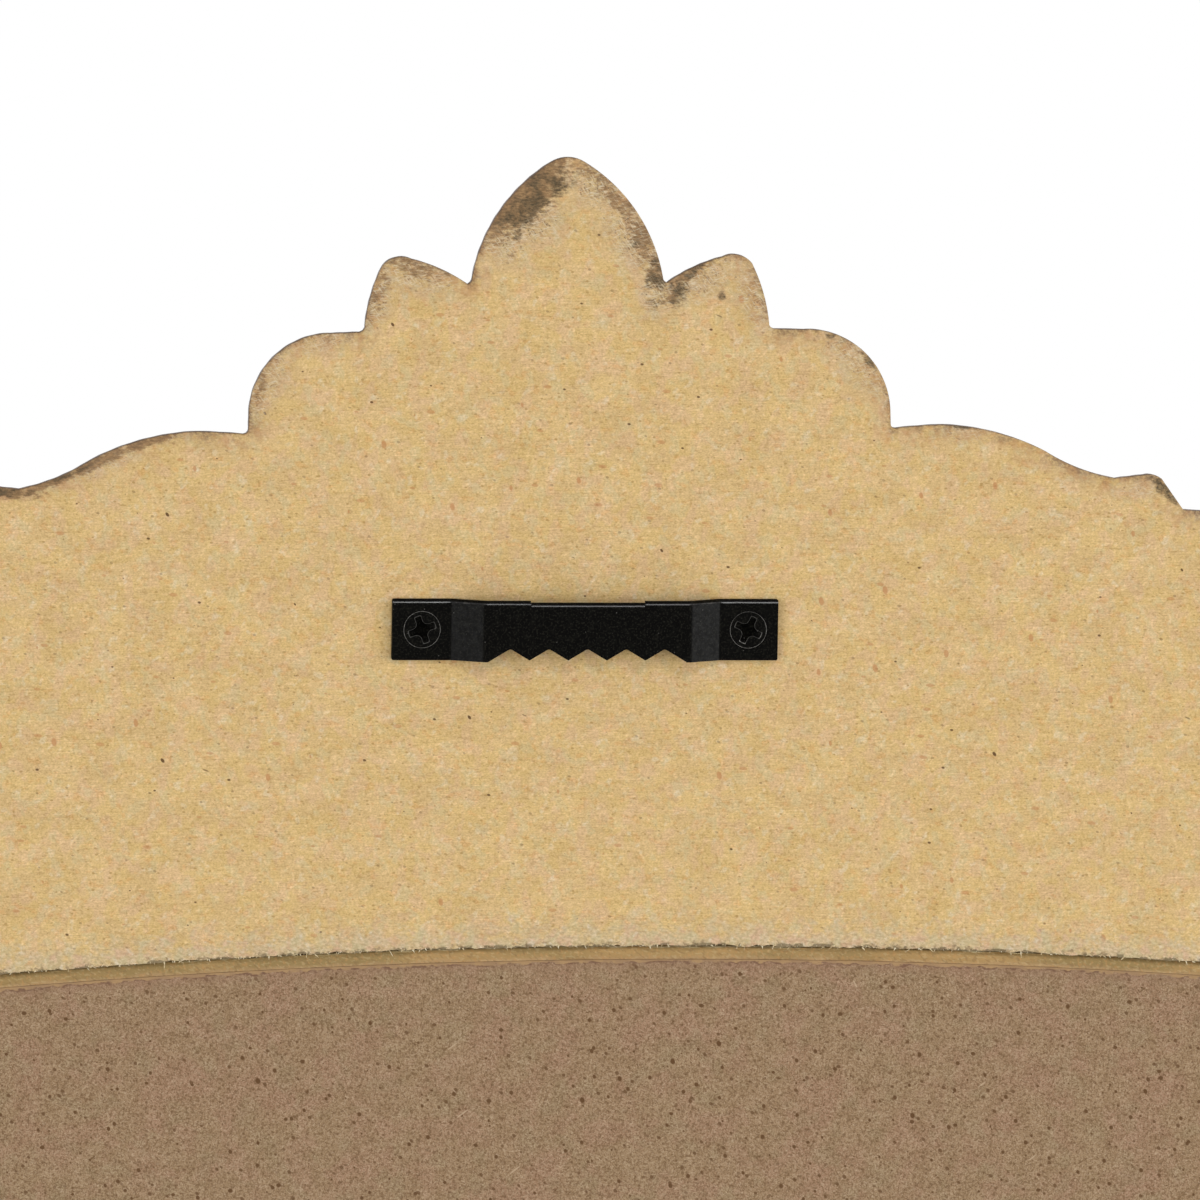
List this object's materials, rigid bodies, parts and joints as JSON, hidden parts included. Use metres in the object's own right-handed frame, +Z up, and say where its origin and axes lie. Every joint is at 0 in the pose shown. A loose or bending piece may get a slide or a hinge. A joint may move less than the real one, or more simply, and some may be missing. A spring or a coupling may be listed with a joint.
{
  "type": "framed mirror",
  "caption": "Wall mirror in a moulded fibreboard frame with an arched head and a carved crest, hung by a sawtooth hanger on its back.",
  "frame": {"origin": "where the nail bears: the top of the hanger's middle notch, in the wall's plane", "axes": "+Z up, +Y to the wall, the glass faces -Y, +X to the right as seen from the front"},
  "size_m": [0.61, 0.025, 0.914],
  "materials": {
    "fibreboard": "raw medium density fibreboard behind, dark distressed stain on the moulded front",
    "hardboard": "raw brown hardboard, matt",
    "silvered_glass": "polished, silvered",
    "wood_glue": "dried wood glue, satin, dusty",
    "foam_tape": "white foam, matt",
    "beech": "plain beech",
    "black_steel": "black oxide steel, semi-matt",
    "black_screw": "black oxide steel, semi-matt"
  },
  "bodies": {
    "root": {"head_rail": "fibreboard", "left_stile": "fibreboard", "right_stile": "fibreboard", "bottom_rail": "fibreboard", "back_panel": "hardboard", "mirror_glass": "silvered_glass", "panel_glue": "wood_glue", "glass_tape": "foam_tape", "left_shoulder_dowels": "beech", "right_shoulder_dowels": "beech", "left_mitre_dowels": "beech", "right_mitre_dowels": "beech", "sawtooth_hanger": "black_steel", "hanger_screw_left": "black_screw", "hanger_screw_right": "black_screw"}
  },
  "joints": []
}
